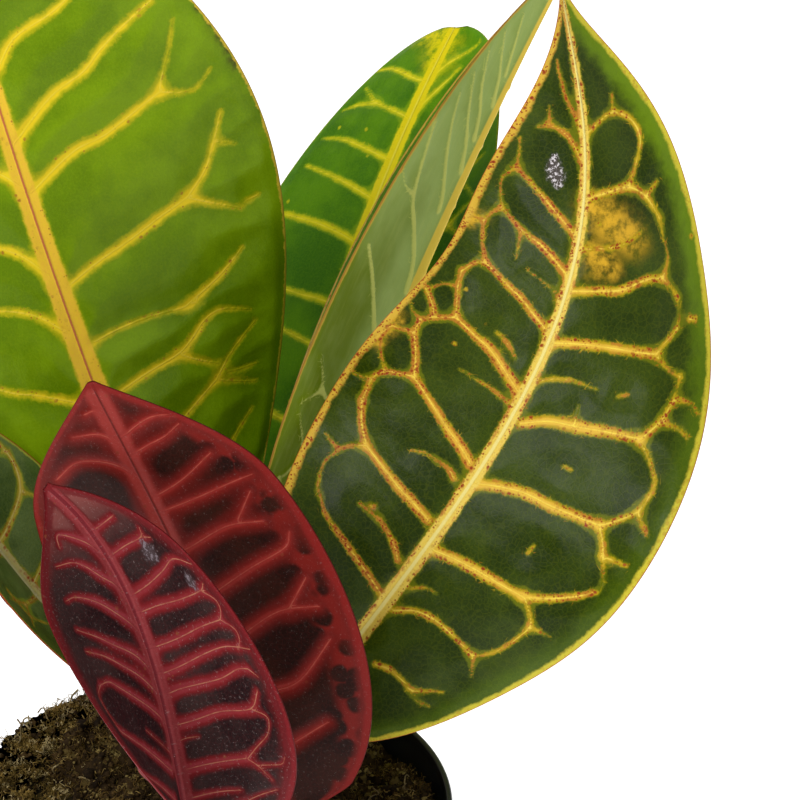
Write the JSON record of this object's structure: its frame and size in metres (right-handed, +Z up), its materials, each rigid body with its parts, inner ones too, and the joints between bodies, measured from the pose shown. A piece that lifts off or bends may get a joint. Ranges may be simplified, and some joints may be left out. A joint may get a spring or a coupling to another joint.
{
  "type": "potted plant",
  "caption": "Potted croton: broad leathery leaves with bold yellow or red veins on short woody stems, in peat in a round tapered black nursery pot.",
  "frame": {"origin": "centre of the pot's underside, on the surface it stands on", "axes": "+Z up the pot and the stems; -Y towards the side that the picture shows; +X to the right in the picture"},
  "size_m": [0.2139, 0.2279, 0.3064],
  "materials": {
    "pot": "black moulded plastic, slightly satin",
    "compost": "moist dark peat with moss and fine rootlets",
    "stem": "grey-brown bark, green towards the tip",
    "leaf_tall_left": "mid green with wide yellow veins, waxy",
    "leaf_low_left": "grey-green with a broad cream midrib, waxy",
    "leaf_back_centre": "bright green with yellow veins, waxy",
    "leaf_edge_on": "pale green underside with fine cream veins, matt",
    "leaf_front_right": "very dark green with yellow veins and orange specks, glossy",
    "leaf_red_upper": "maroon black with red veins, glossy",
    "leaf_red_lower": "charcoal maroon with pink-red veins, glossy",
    "leaf_low_back_right": "dark green with yellow veins, glossy",
    "leaf_low_back": "green with yellow veins, glossy",
    "leaf_low_back_left": "maroon and green with orange veins, glossy",
    "leaf_young_left": "fresh yellow-green, glossy",
    "leaf_young_right": "fresh yellow-green, glossy"
  },
  "bodies": {
    "root": {"pot": "pot", "compost": "compost", "stem_main": "stem", "stem_side": "stem", "leaf_tall_left": "leaf_tall_left", "leaf_low_left": "leaf_low_left", "leaf_back_centre": "leaf_back_centre", "leaf_edge_on": "leaf_edge_on", "leaf_front_right": "leaf_front_right", "leaf_red_upper": "leaf_red_upper", "leaf_red_lower": "leaf_red_lower", "leaf_low_back_right": "leaf_low_back_right", "leaf_low_back": "leaf_low_back", "leaf_low_back_left": "leaf_low_back_left", "leaf_young_left": "leaf_young_left", "leaf_young_right": "leaf_young_right"}
  },
  "joints": []
}
